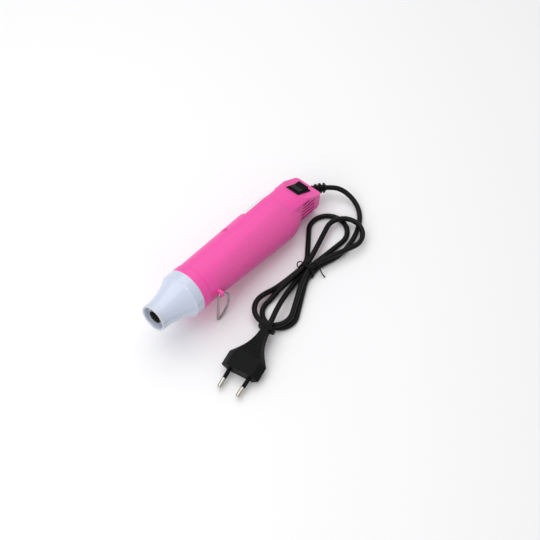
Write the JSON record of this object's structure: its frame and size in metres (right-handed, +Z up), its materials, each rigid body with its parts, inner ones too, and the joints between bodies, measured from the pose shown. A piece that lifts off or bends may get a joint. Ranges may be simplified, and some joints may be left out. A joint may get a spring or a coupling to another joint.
{
  "type": "embossing heat tool",
  "caption": "Hand-held embossing heat tool lying on its wire stand: slim pink barrel, white nozzle, rocker switch on the sloping rear, and a mains cord tied in a hank with a flat plug.",
  "frame": {"origin": "on the table, under the middle of the tool's own box (the free cord and plug left out)", "axes": "+Z up; +X along the tool from the nozzle to the cord's end; +Y to the tool's left, seen from behind it"},
  "size_m": [0.2334, 0.1154, 0.057],
  "materials": {
    "pink_plastic": "satin, smooth, with a fine raised grain on the grip panel",
    "white_plastic": "glossy",
    "tube_steel": "drawn, slightly heat-tinted",
    "mica": "flaky, satin",
    "heating_wire": "dull",
    "black_plastic": "matt",
    "rocker_plastic": "glossy",
    "motor_steel": "plated",
    "pale_plastic": "matt",
    "bronze": "machined",
    "fan_plastic": "matt",
    "board": "paper laminate",
    "contact_brass": "stamped",
    "screw_steel": "zinc plated",
    "stand_wire": "bright drawn wire",
    "cord_rubber": "satin",
    "pin_metal": "bright plated"
  },
  "bodies": {
    "tool": {"left_shell": "pink_plastic", "right_shell": "pink_plastic", "nozzle_shroud": "white_plastic", "heat_tube": "tube_steel", "mica_sleeve": "mica", "mica_cards": "mica", "heating_coil": "heating_wire", "heater_bracket": "tube_steel", "thermal_cutout": "black_plastic", "motor_can": "motor_steel", "motor_cap": "pale_plastic", "motor_bush": "bronze", "air_guide": "fan_plastic", "rectifier_board": "board", "motor_terminals": "contact_brass", "diodes": "black_plastic", "switch_housing": "black_plastic", "switch_terminals": "contact_brass", "shell_screws": "screw_steel", "cord_clamp": "pale_plastic", "clamp_screws": "screw_steel", "strain_relief": "cord_rubber", "inner_cord": "cord_rubber", "cord_lead": "cord_rubber", "cord_hank": "cord_rubber", "cord_tail": "cord_rubber", "cord_tie": "black_plastic", "plug_body": "black_plastic", "plug_pins": "pin_metal", "plug_sleeves": "black_plastic"},
    "fan": {"motor_shaft": "motor_steel", "fan_impeller": "fan_plastic"},
    "rocker": {"switch_rocker": "rocker_plastic"},
    "stand": {"stand_loop": "stand_wire"}
  },
  "joints": [
    {"name": "fan_spin", "type": "hinge", "parent": "tool", "child": "fan", "pos_m": [0.00567, 0.00169, 0.02829], "axis": [0.9943, 0, -0.1063], "continuous": true},
    {"name": "rocker_tilt", "type": "hinge", "parent": "tool", "child": "rocker", "pos_m": [0.08481, 0.00169, 0.03483], "axis": [0, 1, 0], "range_deg": [0, 18]},
    {"name": "stand_swing", "type": "hinge", "parent": "tool", "child": "stand", "pos_m": [-0.04346, -0.02201, 0.03535], "axis": [-0.9943, 0, 0.1063], "range_deg": [0, 195]}
  ]
}
